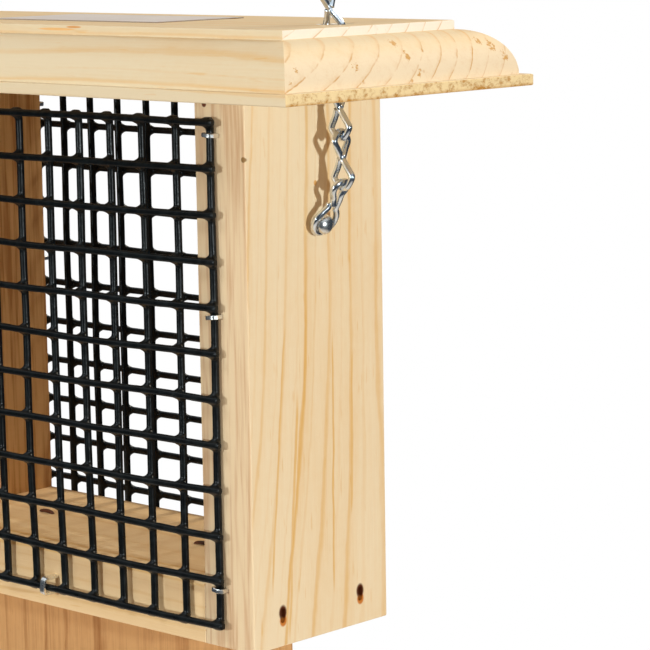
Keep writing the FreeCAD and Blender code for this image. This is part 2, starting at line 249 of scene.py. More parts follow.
def sweep(points, radius, sides):
    """Vertices and faces of a tube along points, its ends closed flat."""
    points = [Vector(p) for p in points]
    count = len(points)
    tangents = tangents_of(points)
    normal = tangents[0].orthogonal().normalized()
    verts = []
    for i, (point, tangent) in enumerate(zip(points, tangents)):
        if i > 0:
            turn = tangents[i - 1].rotation_difference(tangent)
            normal = turn @ normal
        normal = (normal - tangent * normal.dot(tangent)).normalized()
        side = tangent.cross(normal)
        for k in range(sides):
            angle = 2.0 * math.pi * k / sides
            verts.append(point + normal * (radius * math.cos(angle)) + side * (radius * math.sin(angle)))
    faces = ring_faces(count, sides, flip=True)
    faces.append(tuple(range(sides)))
    faces.append(tuple((count - 1) * sides + k for k in reversed(range(sides))))
    return verts, faces


def merge_parts(name, parts, smooth=True):
    """One object from several (verts, faces) lists."""
    verts, faces = [], []
    for part_verts, part_faces in parts:
        base = len(verts)
        verts.extend(part_verts)
        faces.extend(tuple(base + i for i in face) for face in part_faces)
    return new_object(name, verts, faces, smooth)


def flip_x(obj):
    """Mirrors a piece to the other side."""
    bm = bmesh.new()
    bm.from_mesh(obj.data)
    for vert in bm.verts:
        vert.co.x = -vert.co.x
    bmesh.ops.reverse_faces(bm, faces=bm.faces)
    bm.to_mesh(obj.data)
    bm.free()


# ---- node helpers ----
class Nodes:
    """A node tree, with short ways to add and join nodes."""

    def __init__(self, tree):
        self.tree = tree

    def link(self, source, target):
        self.tree.links.new(source, target)

    def value(self, socket, thing):
        if isinstance(thing, bpy.types.NodeSocket):
            self.link(thing, socket)
        else:
            socket.default_value = thing

    def shade(self, name, thing):
        self.value(self.shader.inputs[name], thing)

    def node(self, kind, **inputs):
        """A new node with some of its inputs given."""
        made = self.tree.nodes.new("ShaderNode" + kind)
        for name, thing in inputs.items():
            self.value(made.inputs[name], thing)
        return made

    def math(self, operation, *inputs, clamp=False):
        node = self.node("Math")
        node.operation = operation
        node.use_clamp = clamp
        for socket, thing in zip(node.inputs, inputs):
            self.value(socket, thing)
        return node.outputs[0]

    def add(self, a, b, clamp=False):
        return self.math("ADD", a, b, clamp=clamp)

    def sub(self, a, b):
        return self.math("SUBTRACT", a, b)

    def times(self, a, b, clamp=False):
        return self.math("MULTIPLY", a, b, clamp=clamp)

    def stretch(self, vector, factors):
        return self.vector_math("MULTIPLY", vector, factors)

    def shift(self, vector, offset):
        return self.vector_math("ADD", vector, offset)

    def about(self, thing, middle, amount):
        """How far thing lies from middle, times amount."""
        return self.times(self.sub(thing, middle), amount)

    def vector_math(self, operation, *inputs):
        node = self.node("VectorMath")
        node.operation = operation
        for socket, thing in zip(node.inputs, inputs):
            self.value(socket, thing)
        return node.outputs[0]

    def coords(self, kind="Object"):
        return self.node("TexCoord").outputs[kind]

    def split(self, vector):
        return self.node("SeparateXYZ", Vector=vector).outputs

    def join(self, x, y, z):
        return self.node("CombineXYZ", X=x, Y=y, Z=z).outputs[0]

    def noise(self, vector, scale=1.0, detail=2.0, rough=0.5):
        node = self.node("TexNoise", Vector=vector, Scale=scale, Detail=detail, Roughness=rough)
        return node.outputs[0]

    def noise_1d(self, w):
        node = self.node("TexWhiteNoise")
        node.noise_dimensions = "1D"
        self.link(w, node.inputs["W"])
        return node.outputs["Value"]

    def voronoi(self, vector, scale):
        return self.node("TexVoronoi", Vector=vector, Scale=scale).outputs[0]

    def ramp(self, factor, stops, interpolation="LINEAR"):
        node = self.node("ValToRGB")
        ramp = node.color_ramp
        ramp.interpolation = interpolation
        while len(ramp.elements) < len(stops):
            ramp.elements.new(0.5)
        for element, (place, colour) in zip(ramp.elements, stops):
            element.position = place
            if isinstance(colour, float):
                colour = (colour, colour, colour)
            element.color = (*colour, 1.0)
        self.link(factor, node.inputs[0])
        return node.outputs[0]

    def mix(self, factor, a, b):
        node = self.node("Mix")
        node.data_type = "RGBA"
        node.clamp_factor = True
        colours = [s for s in node.inputs if s.type == "RGBA"]
        self.value(node.inputs[0], factor)
        for socket, thing in zip(colours, (a, b)):
            if isinstance(thing, tuple) and len(thing) == 3:
                thing = (*thing, 1.0)
            self.value(socket, thing)
        return next(s for s in node.outputs if s.type == "RGBA")

    def bump(self, height, strength, distance):
        return self.node("Bump", Strength=strength, Distance=distance, Height=height).outputs[0]

    def rise(self, value, low, high):
        """Goes smoothly from 0 at low to 1 at high."""
        node = self.node("MapRange")
        node.interpolation_type = "SMOOTHSTEP"
        self.value(node.inputs["Value"], value)
        node.inputs["From Min"].default_value = low
        node.inputs["From Max"].default_value = high
        return node.outputs[0]

    def fall(self, value, low, high):
        """Goes smoothly from 1 at low to 0 at high."""
        return self.sub(1.0, self.rise(value, low, high))


def material_nodes(name):
    """The nodes of a new material, its shader joined to its output."""
    material = bpy.data.materials.new(name)
    material.use_nodes = True
    n = Nodes(material.node_tree)
    n.material = material
    n.tree.nodes.clear()
    output = n.node("OutputMaterial")
    n.shader = n.node("BsdfPrincipled")
    n.link(n.shader.outputs[0], output.inputs[0])
    return n


# ---- wood ----
PINE_LIGHT = (0.850, 0.685, 0.450)
PINE_DARK = (0.76, 0.45, 0.145)
PINE_END = (0.90, 0.755, 0.545)
PINE_END_DARK = (0.64, 0.33, 0.080)
TEAR = (0.66, 0.38, 0.13)
GOLDEN_END = (0.86, 0.66, 0.34)
STEP_HIGHLIGHT = (0.99, 0.91, 0.80)
SAWN_LIGHT = (0.95, 0.75, 0.42)
SAWN_DARK = (0.58, 0.27, 0.05)
RING_BEND = 12.0            # mm that the rings wander, slowly and in ripples
RING_RIPPLE = 2.4
RING_SEED = (3.3, 7.9, 1.7)
FIBRE_SEED = (17.3, 5.1, 9.7)
FIBRE_STRETCH = 0.07        # along the grain, against across it
WOOD_BUMP = (0.45, 0.30 * MM)
# darkness over one year's growth, on the long grain and on the ends
YEAR_BAND = ((0.0, 0.10), (0.12, 0.02), (0.48, 0.0), (0.78, 0.18), (0.905, 1.0), (0.945, 0.85),
             (1.0, 0.10))
END_ARC = ((0.0, 0.0), (0.70, 0.02), (0.88, 0.22), (0.95, 1.0), (1.0, 0.0))


def ring_years(n, along, across, pith, ring, wander, seed, slope, flare):
    """How many years' rings lie between the pith and each point, with slow wandering."""
    slow = n.join(n.times(along, 0.25), *across)
    slow = n.shift(slow, tuple(seed * step for step in RING_SEED))
    bend = n.noise(slow, scale=0.022, detail=1.0)
    ripple = n.noise(slow, scale=0.13, detail=3.0, rough=0.62)
    warp = n.add(n.about(bend, 0.5, RING_BEND * wander), n.about(ripple, 0.5, RING_RIPPLE * wander))
    growth = n.add(n.about(along, flare[1], flare[0]), 1.0)
    offsets = []
    for place, middle in zip(across, pith):
        offsets.append(n.sub(place, middle))
    leaning = n.about(along, flare[1], slope)
    offsets[1] = n.times(n.add(offsets[1], leaning), growth)
    squares = [n.times(offset, offset) for offset in offsets]
    radius = n.add(n.math("SQRT", n.math("ADD", *squares)), warp)
    return n.math("DIVIDE", radius, ring), slow


def streak(n, along, across, line):
    """One darker line along the grain: (place low, place high, low end, high end, half width)."""
    place_low, place_high, low, high, half = line
    share = n.math("DIVIDE", n.sub(along, low), high - low)
    centre = n.add(n.times(share, place_high - place_low), place_low)
    wave = n.noise(n.join(n.times(along, 0.05), 0.0, place_low), scale=1.0, detail=2.0)
    centre = n.add(centre, n.about(wave, 0.5, 1.6))
    away = n.math("ABSOLUTE", n.sub(across, centre))
    across_mask = n.fall(away, half * 0.3, half)
    from_low = n.rise(share, 0.0, 0.12)
    from_high = n.fall(share, 0.85, 1.0)
    return n.times(across_mask, n.times(from_low, from_high))


def end_grain(n, place, phase, strength, mottle, seed, tints, rough_lip):
    """Sawn ends: thin arcs, speckle and small tears. Returns colour and height."""
    x, _, z = n.split(place)
    end_light, end_dark = tints
    speckle = n.noise(place, scale=1.5, detail=3.0, rough=0.7)
    arcs = n.ramp(phase, END_ARC, "EASE")
    broken = n.noise(place, scale=0.30, detail=2.0)
    arcs = n.times(n.times(arcs, strength), n.rise(broken, 0.30, 0.56))
    ragged = n.about(n.noise(place, scale=0.9, detail=3.0), 0.5, 0.55)
    tears = n.add(n.voronoi(n.shift(place, (seed, seed, seed)), scale=0.36), ragged)
    torn_part = n.noise(n.shift(place, (seed, 3.0, 7.0)), scale=0.075, detail=1.0)
    tears = n.times(n.fall(tears, 0.06, 0.26), n.rise(torn_part, 0.52, 0.66))
    share = n.add(n.times(arcs, 0.85), n.about(speckle, 0.5, 0.36))
    share = n.add(share, n.about(mottle, 0.5, 0.50))
    share = n.add(share, n.times(tears, 0.85), clamp=True)
    height = n.sub(speckle, n.times(tears, 1.6))
    if rough_lip is None:
        return n.mix(share, end_light, end_dark), height
    reach, low, high, step_z = rough_lip
    upper = n.times(n.rise(z, step_z - 6.5, step_z - 1.0), n.fall(z, step_z, step_z + 0.2))
    golden = n.times(upper, n.add(n.times(mottle, 0.9), -0.10), clamp=True)
    share = n.times(share, n.sub(1.0, n.times(upper, 0.45)))
    colour = n.mix(share, n.mix(golden, end_light, GOLDEN_END), end_dark)
    saw = n.times(n.rise(n.math("ABSOLUTE", x), reach - 0.5, reach - 0.2), n.fall(z, high, high + 0.15))
    kerf = n.noise(n.stretch(place, (1.0, 0.75, 1.0)), scale=0.55, detail=5.0, rough=0.75)
    pit = n.rise(kerf, 0.46, 0.70)
    rough_share = n.add(n.times(pit, 0.90), n.times(n.fall(z, low, low + 1.1), 0.55), clamp=True)
    colour = n.mix(saw, colour, n.mix(rough_share, SAWN_LIGHT, SAWN_DARK))
    # painted highlight: a near-white band along the top step of the roof's ends, paler than the end grain
    # below it
    bright = n.times(n.rise(z, step_z, step_z + 0.2), n.sub(0.92, n.times(arcs, 0.8)))
    colour = n.mix(bright, colour, STEP_HIGHLIGHT)
    return colour, n.sub(height, n.times(n.times(pit, saw), 2.6))


def mark_spots(n, place, colour, spots):
    """Ellipsoids of another colour: (centre, radii, colour). Tears get a ragged outline."""
    crumbs = n.noise(place, scale=1.1, detail=3.0, rough=0.65)
    for centre, radii, tint in spots:
        away = n.vector_math("DIVIDE", n.vector_math("SUBTRACT", place, centre), radii)
        squares = [n.times(part, part) for part in n.split(away)]
        near = n.add(n.add(squares[0], squares[1]), squares[2])
        if tint == TEAR:
            near = n.add(near, n.about(crumbs, 0.42, 5.0))
        colour = n.mix(n.fall(near, 0.45, 1.0), colour, tint)
    return colour


def pine(name, grain, pith, ring, seed, light=PINE_LIGHT, dark=PINE_DARK, end_light=PINE_END,
         end_dark=PINE_END_DARK, wander=1.0, contrast=1.0, slope=0.0, flare=(0.0, 0.0), streaks=(),
         rough_lip=None, edges=(), spots=(), fibres=0.42, rings=0.58):
    """Planed pine, in mm. grain is the axis of the fibres, pith the place of the tree's centre across
    it, ring the width of a year's growth. slope and flare lean and widen the years along the board.
    edges are faces given another colour; on the left board's inner face that colour is painted shade:
    (axis, where, outward, colour, dark colour). rough_lip marks the roof's sawn lip and the painted
    highlight on its top step: (reach along X, low, high, height of the step)."""
    n = material_nodes(name)
    place = n.stretch(n.coords(), (1.0 / MM, 1.0 / MM, 1.0 / MM))
    x, y, z = n.split(place)
    along, across_a, across_b = {"X": (x, y, z), "Y": (y, x, z), "Z": (z, x, y)}[grain]
    years, slow = ring_years(n, along, (across_a, across_b), pith, ring, wander, seed, slope, flare)
    year = n.math("FLOOR", years)
    phase = n.math("FRACT", years)
    each = n.noise_1d(n.add(year, seed * 13.0))

    stretched = n.join(n.times(along, FIBRE_STRETCH), across_a, across_b)
    stretched = n.shift(stretched, tuple(seed * step for step in FIBRE_SEED))
    band = n.ramp(phase, YEAR_BAND, "EASE")
    second = n.math("ABSOLUTE", n.sub(phase, n.add(n.times(each, 0.4), 0.2)))
    second = n.times(n.fall(second, 0.01, 0.07), 0.28)
    band = n.math("MAXIMUM", band, second)
    patchy = n.noise(n.stretch(stretched, (3.5, 1.0, 1.0)), scale=0.07, detail=2.0)
    strength = n.times(n.add(n.times(each, 0.75), 0.40), n.add(n.times(patchy, 1.4), 0.30))
    ringness = n.times(band, strength)
    for line in streaks:
        ringness = n.math("MAXIMUM", ringness, streak(n, along, across_b, line))

    fibre = n.noise(n.stretch(stretched, (0.35, 1.0, 1.0)), scale=1.6, detail=4.0, rough=0.7)
    fine = n.noise(n.stretch(stretched, (0.5, 1.0, 1.0)), scale=4.5, detail=2.0)
    tone = n.noise(slow, scale=0.035, detail=2.0)
    mottle = n.noise(place, scale=0.35, detail=4.0, rough=0.65)
    fleck = n.noise(n.stretch(stretched, (1.6, 1.0, 1.0)), scale=1.0, detail=1.0)
    fleck = n.rise(fleck, 0.66, 0.78)

    normal = n.split(n.coords("Normal"))["XYZ".index(grain)]
    end = n.rise(n.math("ABSOLUTE", normal), 0.30, 0.80)

    dark_share = n.times(ringness, rings * contrast)
    for part, middle, amount in ((fibre, 0.5, fibres), (tone, 0.45, 0.55), (mottle, 0.5, 0.22)):
        dark_share = n.add(dark_share, n.about(part, middle, amount * contrast))
    dark_share = n.add(dark_share, n.times(fleck, 0.30 * contrast), clamp=True)
    face = n.mix(dark_share, light, dark)
    # other colours on chosen faces: the boards' front and back edges, and painted shade on the left
    # board's inner face
    for axis, where, outward, colour, edge_dark in edges:
        reach = n.times((x, y, z)[axis], outward)
        on_edge = n.rise(reach, where * outward - 0.25, where * outward - 0.05)
        beside = (across_b, across_a, across_b)[axis]
        stripes = n.noise(n.join(n.times(along, 0.022), n.times(beside, 0.55), seed * 4.1),
                          scale=1.0, detail=3.0, rough=0.6)
        edge_share = n.add(n.times(dark_share, 0.5), n.rise(stripes, 0.44, 0.68), clamp=True)
        face = n.mix(on_edge, face, n.mix(edge_share, colour, edge_dark))

    end_colour, end_height = end_grain(n, place, phase, strength, mottle, seed, (end_light, end_dark),
                                       rough_lip)
    colour = mark_spots(n, place, n.mix(end, face, end_colour), spots)
    n.shade("Base Color", colour)

    long_height = n.add(n.times(fibre, 0.6), n.times(fine, 0.4))
    long_height = n.sub(long_height, n.times(ringness, 0.25))
    height_mix = n.node("Mix")
    height_mix.data_type = "FLOAT"
    for socket, source in ((0, end), (2, long_height), (3, end_height)):
        n.link(source, height_mix.inputs[socket])
    n.shade("Normal", n.bump(height_mix.outputs[0], *WOOD_BUMP))
    rough = n.add(n.times(fibre, 0.20), 0.50)
    n.shade("Roughness", n.add(rough, n.times(end, 0.15)))
    n.shade("Specular IOR Level", 0.25)
    return n.material


# ---- metals and plastics ----
VINYL_BLACK = (0.0020, 0.0027, 0.0030)
VINYL_WORN = (0.0055, 0.0080, 0.0088)
FILM_EDGE_SHADOW = (0.30, 0.24, 0.19)
FILM_DULL = (0.80, 0.80, 0.83)
FILM_BRIGHT = (0.90, 0.90, 0.92)


def vinyl():
    n = material_nodes("black_vinyl_coat")
    place = n.coords()
    wear = n.noise(place, scale=420.0, detail=3.0)
    pits = n.noise(place, scale=1300.0, detail=2.0)
    colour = n.mix(n.rise(wear, 0.45, 0.75), VINYL_BLACK, VINYL_WORN)
    n.shade("Base Color", colour)
    n.shade("Roughness", n.add(n.times(wear, 0.24), 0.20))
    n.shade("Normal", n.bump(pits, 0.20, 0.0003))
    n.shade("Specular IOR Level", 0.22)
    return n.material


def bright_metal(name, light, dark, rough_low, rough_high, metal=1.0):
    n = material_nodes(name)
    place = n.coords()
    cloud = n.noise(place, scale=260.0, detail=3.0)
    grain = n.noise(place, scale=1900.0, detail=2.0)
    n.shade("Base Color", n.mix(n.rise(cloud, 0.35, 0.70), light, dark))
    n.shade("Roughness", n.add(n.times(cloud, rough_high - rough_low), rough_low))
    n.shade("Normal", n.bump(grain, 0.12, 0.0001))
    n.shade("Metallic", metal)
    return n.material


def label_film():
    n = material_nodes("blank_label_film")
    place = n.coords()
    cloud = n.noise(place, scale=60.0, detail=2.0)
    up = n.rise(n.math("ABSOLUTE", n.split(n.coords("Normal"))[2]), 0.4, 0.8)
    face = n.mix(cloud, FILM_DULL, FILM_BRIGHT)
    # painted shadow: the label's side faces are dark brown, for the shade under its lifted edge
    n.shade("Base Color", n.mix(up, FILM_EDGE_SHADOW, face))
    n.shade("Roughness", n.add(n.times(cloud, 0.10), 0.28))
    n.shade("Specular IOR Level", 0.06)
    return n.material


def paint(obj, material):
    obj.data.materials.clear()
    obj.data.materials.append(material)


# ---- boards ----
def nail_pocket_cutters(side):
    """The oval pockets that the floor nails' heads sit in."""
    wide, tall = NAIL_HEAD
    face = side * RIGHT_HI.x
    x0, x1 = sorted((face - side * (NAIL_SUNK + POCKET_DEEPER), face + side * MM))
    z = BASE_Z + NAIL_HEIGHT
    cutters = []
    for y in (-NAIL_SPREAD, NAIL_SPREAD):
        lo = (x0, y - wide / 2, z - tall / 2)
        hi = (x1, y + wide / 2, z + tall / 2)
        cutters.append(block("cutter", lo, hi, wide * POCKET_ROUND))
    return cutters


def side_boards(wood):
    for name, side, lo, hi in (("right", 1.0, RIGHT_LO, RIGHT_HI), ("left", -1.0, LEFT_LO, LEFT_HI)):
        board = block("side_board_" + name + "_wood", lo, hi)
        cut(board, nail_pocket_cutters(side))
        paint(board, wood[name])
        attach(board, "cage")
        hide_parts("side_board_" + name)


def floor_piece(material):
    board = block("floor_board_wood", FLOOR_LO, FLOOR_HI)
    paint(board, material)
    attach(board, "cage")
    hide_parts("floor_board")


def prop_piece(material):
    board = block("tail_prop_wood", PROP_LO, PROP_HI, PROP_EASE)
    paint(board, material)
    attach(board, "cage")
    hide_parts("tail_prop")


def roof_profile():
    """Points of the moulding, as (inset from the outermost edge, height over the underside)."""
    thick = ROOF_HI.z - ROOF_LO.z
    ease = ROOF_EASE
    knee = EASE_KNEE * ease
    points = [(ease, 0.0), (knee, knee), (0.0, ease)]
    points += [(0.0, LIP - ease), (knee, LIP - knee), (ease, LIP)]
    for i in range(ROUND_STEPS + 1):
        angle = math.pi - (math.pi / 2.0) * i / ROUND_STEPS
        points.append((LEDGE + ROUND + ROUND * math.cos(angle), LIP + ROUND * math.sin(angle)))
    inset = LEDGE + ROUND
    return points + [(inset, thick - ease), (inset + knee, thick - knee), (inset + ease, thick)]


def roof_piece(material):
    verts = []
    for inset, height in roof_profile():
        for sx, sy in ((1, 1), (-1, 1), (-1, -1), (1, -1)):
            verts.append((sx * (ROOF_HI.x - inset), sy * (ROOF_HI.y - inset), ROOF_LO.z + height))
    faces = ring_faces(len(verts) // 4, 4)
    faces.append((3, 2, 1, 0))
    faces.append(tuple(range(len(verts) - 4, len(verts))))
    roof = new_object("roof_board_wood", verts, faces)
    cutters = []
    for side in (1.0, -1.0):
        bm = bmesh.new()
        where = Matrix.Translation((side * CHAIN_HOLE_X, 0.0, (ROOF_LO.z + ROOF_HI.z) / 2))
        bmesh.ops.create_cone(bm, cap_ends=True, segments=HOLE_SIDES, radius1=CHAIN_HOLE_R,
                              radius2=CHAIN_HOLE_R, depth=HOLE_CUTTER, matrix=where)
        cutters.append(object_from_bmesh("cutter", bm))
    cut(roof, cutters)
    paint(roof, material)
    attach(roof, "roof")
    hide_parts("roof_board")


# ---- mesh panels ----
def wander(seed, along):
    """A slow, repeatable sideways drift along a wire."""
    return WIRE_SWAY * noise.noise(Vector((along * SWAY_PER_METRE, seed * 3.7, 1.3)))


def vinyl_web(x, z, upright_y, cross_y):
    """The coat that pools in the corners of a crossing: a four-pointed plate between the wires."""
    outline = []
    centre = WIRE_R + WEB_ROUND
    for quarter in range(4):
        turn = Matrix.Rotation(math.pi / 2.0 * quarter, 2)
        for i in range(WEB_STEPS + 1):
            angle = math.pi * 1.5 - (math.pi / 2.0) * i / WEB_STEPS
            corner = Vector((centre + WEB_ROUND * math.cos(angle), centre + WEB_ROUND * math.sin(angle)))
            outline.append(turn @ corner)
    middle = (upright_y + cross_y) / 2.0
    verts = [(x + p.x, middle - WEB_THICK / 2.0, z + p.y) for p in outline]
    verts += [(x + p.x, middle + WEB_THICK / 2.0, z + p.y) for p in outline]
    count = len(outline)
    faces = [tuple(range(count)), tuple(count + k for k in reversed(range(count)))]
    return verts, faces + ring_faces(2, count, flip=True)


def upright_place(layout, count):
    """Where an upright stands, counted from the right."""
    return layout[0] - count * PITCH


def bow_at(face, layout, x, z):
    """How far the front panel bellies off the boards: least at its side and bottom staples."""
    if face > 0.0:
        return 0.0
    half = (WIRES - 1) * PITCH / 2.0
    share = (x - (layout[0] - half)) / half
    staple_x, reach_x, reach_z = BOW_DIP
    above = z - (BASE_Z + layout[1] - (WIRES - 1) * PITCH)
    dip = math.exp(-((x - staple_x) / reach_x) ** 2 - (above / reach_z) ** 2)
    return BOW * (1.0 - share * share) * (1.0 - DIP_SHARE * dip)


def mesh_panel(name, face, layout, material):
    """Welded wire cloth: uprights against the boards, crossing wires in front, fused by the coat."""
    top = layout[1]
    right_end = upright_place(layout, 0) + STUB
    left_end = upright_place(layout, WIRES - 1) - STUB
    upper_end = BASE_Z + top + STUB_UPRIGHT
    lower_end = BASE_Z + top - (WIRES - 1) * PITCH - STUB_UPRIGHT
    flat_y = FLOOR_HI.y + MESH_GAP + WIRE_R
    first = face * BACK_SEED
    parts = []
    for count in range(WIRES):
        x = upright_place(layout, count)
        z = BASE_Z + top - count * PITCH
        upright = []
        crossing = []
        for i in range(WIRE_STEPS + 1):
            run = lower_end + (upper_end - lower_end) * i / WIRE_STEPS
            upright_y = flat_y + bow_at(face, layout, x, run)
            upright.append((x + wander(count + first, run), face * upright_y, run))
            run = left_end + (right_end - left_end) * i / WIRE_STEPS
            cross_y = flat_y + WIRE_STEP + bow_at(face, layout, run, z)
            crossing.append((run, face * cross_y, z + wander(count + CROSSING_SEED + first, run)))
        parts.append(sweep(upright, WIRE_R * WIRE_LOOK, WIRE_SIDES))
        parts.append(sweep(crossing, WIRE_R * CROSSING_LOOK, WIRE_SIDES))
    for row in range(WIRES):
        for column in range(WIRES):
            x = upright_place(layout, column)
            z = BASE_Z + top - row * PITCH
            weld_y = flat_y + bow_at(face, layout, x, z)
            x += wander(column + first, z)
            z += wander(row + CROSSING_SEED + first, x)
            parts.append(vinyl_web(x, z, face * weld_y, face * (weld_y + WIRE_STEP)))
    panel = merge_parts(name, parts)
    remesh = panel.modifiers.new("fuse", "REMESH")
    remesh.mode = "VOXEL"
    remesh.voxel_size = FUSE_VOXEL
    relax = panel.modifiers.new("relax", "SMOOTH")
    relax.factor = 0.5
    relax.iterations = FUSE_RELAX
    fewer = panel.modifiers.new("fewer", "DECIMATE")
    fewer.ratio = FUSE_KEEP
    apply_modifiers(panel)
    smooth_faces(panel.data)
    paint(panel, material)
    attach(panel, "cage")
    return panel


# ---- staples, nails and screws ----
def staple_strip(crown, leg, rise, wide):
    """A bent flat wire: down one leg, over the crown, down the other. Crown along X, legs along +Y."""
    half = crown / 2.0 - STAPLE_THIN / 2.0
    turn = STAPLE_TURN
    flat = half - turn
    steps = STAPLE_BEND_STEPS
    bend = [(-half, leg), (-half, turn)]
    for i in range(1, steps):
        angle = (math.pi / 2.0) * i / steps
        bend.append((-flat - turn * math.cos(angle), turn - turn * math.sin(angle)))
    bend.append((-flat, 0.0))
    top = []
    for i in range(1, steps):
        top.append((flat * (2.0 * i / steps - 1.0), -rise * math.sin(math.pi * i / steps)))
    path = [Vector(p) for p in bend + top + [(-x, y) for x, y in reversed(bend)]]
    verts = []
    w = wide / 2.0
    t = STAPLE_THIN / 2.0
    c = STAPLE_CHAMFER
    section = ((-w + c, -t), (w - c, -t), (w, -t + c), (w, t - c),
               (w - c, t), (-w + c, t), (-w, t - c), (-w, -t + c))
    for point, tangent in zip(path, tangents_of(path)):
        out = Vector((tangent.y, -tangent.x))
        for across, thick in section:
            verts.append((point.x + out.x * thick, point.y - t + out.y * thick, across))
    size = len(section)
    faces = ring_faces(len(path), size)
    faces.append(tuple(reversed(range(size))))
    faces.append(tuple(range(len(verts) - size, len(verts))))
    return verts, faces


def place(part, matrix):
    verts, faces = part
    return [matrix @ Vector(v) for v in verts], faces


def fasten_staples(name, node, spots, face, crown, stand_off, upright_crown, material):
    """Staples over mesh wires, at (x, z) spots above the base."""
    wide = BOTTOM_WIDE if upright_crown else STAPLE_WIDE
    turn = Matrix.Rotation(math.radians(90.0 if upright_crown else 0.0), 4, "Y")
    parts = []
    for number, (x, z) in enumerate(spots):
        part = staple_strip(crown, STAPLE_LEG + stand_off, 0.0, wide)
        skew = Matrix.Rotation(math.radians(STAPLE_SKEWS[number % 3]), 4, "Y")
        where = Matrix.Translation((x, -(FLOOR_HI.y + stand_off), BASE_Z + z))
        if face > 0.0:
            where = Matrix.Diagonal((1.0, -1.0, 1.0, 1.0)) @ where
        parts.append(place(part, where @ skew @ turn))
    piece = merge_parts(name, parts, smooth=False)
    if face > 0.0:
        piece.data.flip_normals()
    paint(piece, material)
    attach(piece, "cage")
    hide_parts(node)


def all_staples(material):
    for face_name, face, layout in (("front", -1.0, FRONT_MESH), ("back", 1.0, BACK_MESH)):
        stand_off = 2.0 * MESH_GAP + 2.0 * WIRE_R
        for side_name, count in (("right", 0), ("left", WIRES - 1)):
            x = upright_place(layout, count)
            node = "staples_" + face_name + "_" + side_name
            spots = [(x, z) for z in EDGE_STAPLES]
            fasten_staples(node + "_wire", node, spots, face, STAPLE_CROWN, stand_off, False, material)
        node = "staple_" + face_name + "_bottom"
        x, above = BOTTOM_STAPLE
        z = layout[1] - (WIRES - 1) * PITCH + above
        stand_off += WIRE_STEP + bow_at(face, layout, x, BASE_Z + z)
        fasten_staples(node + "_wire", node, [(x, z)], face, BOTTOM_CROWN, stand_off, True, material)


def prop_staples(material):
    """Two long staples down through the floor into the prop, crowns a little proud."""
    parts = []
    for side in (-1.0, 1.0):
        part = staple_strip(PROP_STAPLE_CROWN, PROP_STAPLE_LEG, PROP_STAPLE_RISE, STAPLE_WIDE)
        turn = Matrix.Rotation(math.radians(-90.0), 4, "X")
        skew = Matrix.Rotation(math.radians(PROP_STAPLE_SKEW * side), 4, "Z")
        z = FLOOR_HI.z + PROP_STAPLE_PROUD - STAPLE_THIN
        parts.append(place(part, Matrix.Translation((side * PROP_STAPLE_X, 0.0, z)) @ skew @ turn))
    piece = merge_parts("prop_staples_wire", parts, smooth=False)
    paint(piece, material)
    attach(piece, "cage")
    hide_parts("prop_staples")


# ---- chain ----
ALONG_Y = Vector((0.0, 1.0, 0.0))
STRAND_STEPS = 5
CORNER_CUT = 0.25
# where a wire starts, crosses and ends at a link's waist. Links: across the lower loop, along Y and
# along the link, as shares of TUCK. The anchor: along Y, along the link and out, in mm.
TUCK = CHAIN_WIRE_R * 0.55
LINK_TUCKS = ((1.0, -0.2, -0.5), (-0.4, 0.2, 0.0), (-0.9, -1.0, 0.5))
ANCHOR_TUCKS = ((-1.1, 0.6, 0.4), (2.1, 0.0, 0.0), (-0.5, 0.9, -0.6))


def tucked(waist, axes, offsets, size):
    """Places near the waist, each offset measured along the three axes."""
    a, b, c = axes
    return [waist + (a * i + b * j + c * k) * size for i, j, k in offsets]


def loop_points(waist, far, radius, across, steps):
    """A teardrop from the waist, round its far end and back."""
    run = far - waist
    reach = run.length - radius
    along = run.normalized()
    centre = waist + along * reach
    half = math.asin(radius / reach)
    strand = [reach * math.cos(half) * i / STRAND_STEPS for i in range(1, STRAND_STEPS)]
    aside = across * math.sin(half)
    onward = along * math.cos(half)
    points = [waist + (onward + aside) * length for length in strand]
    for i in range(steps + 1):
        turn = math.pi / 2.0 + half - (math.pi + 2.0 * half) * i / steps
        points.append(centre + across * (radius * math.sin(turn)) + along * (radius * math.cos(turn)))
    return points + [waist + (onward - aside) * length for length in reversed(strand)]


# half of a jig-bent loop from the waist: (share of the half width, share of the length)
KITE = ((0.55, 0.30), (1.10, 0.60), (1.10, 0.70), (0.62, 0.93), (0.30, 1.01))


def kite_points(waist, far, half, across):
    """A loop bent in a jig: straight strands out to two shoulders, then in to a tight bottom."""
    run = far - waist
    points = [waist + across * (half * side) + run * share for side, share in KITE]
    points += [waist - across * (half * side) + run * share for side, share in reversed(KITE)]
    return points


def link_wire(top, bottom, across):
    """One length of wire bent into a figure eight, its ends tucked in at the waist."""
    run = bottom - top
    waist = top + run * WAIST_SHARE
    along = run.normalized()
    upper = kite_points(waist, top, UPPER_LOOP_R, ALONG_Y)
    lower = kite_points(waist, bottom, LOWER_LOOP_R, across)
    start, crossing, end = tucked(waist, (across, ALONG_Y, along), LINK_TUCKS, TUCK)
    path = [start] + upper + [crossing] + lower + [end]
    return sweep(smoothed(path, 3), CHAIN_WIRE_LOOK, LINK_SIDES)


def anchor_wire(top, bottom, share):
    """The link round the screw. One strand runs on from eye to upper loop."""
    run = bottom - top
    along = run.normalized()
    out = ALONG_Y.cross(along)
    waist = top + run * share
    lower = loop_points(waist, bottom, ANCHOR_EYE_R, -ALONG_Y, 16)
    upper = loop_points(waist, top, UPPER_LOOP_R, ALONG_Y, 14)
    start, crossing, end = tucked(waist, (ALONG_Y, along, out), ANCHOR_TUCKS, MM)
    path = [start] + lower[1:-2] + [crossing] + upper[3:-1] + [end]
    return sweep(smoothed(path, 2), CHAIN_WIRE_LOOK, ANCHOR_SIDES)


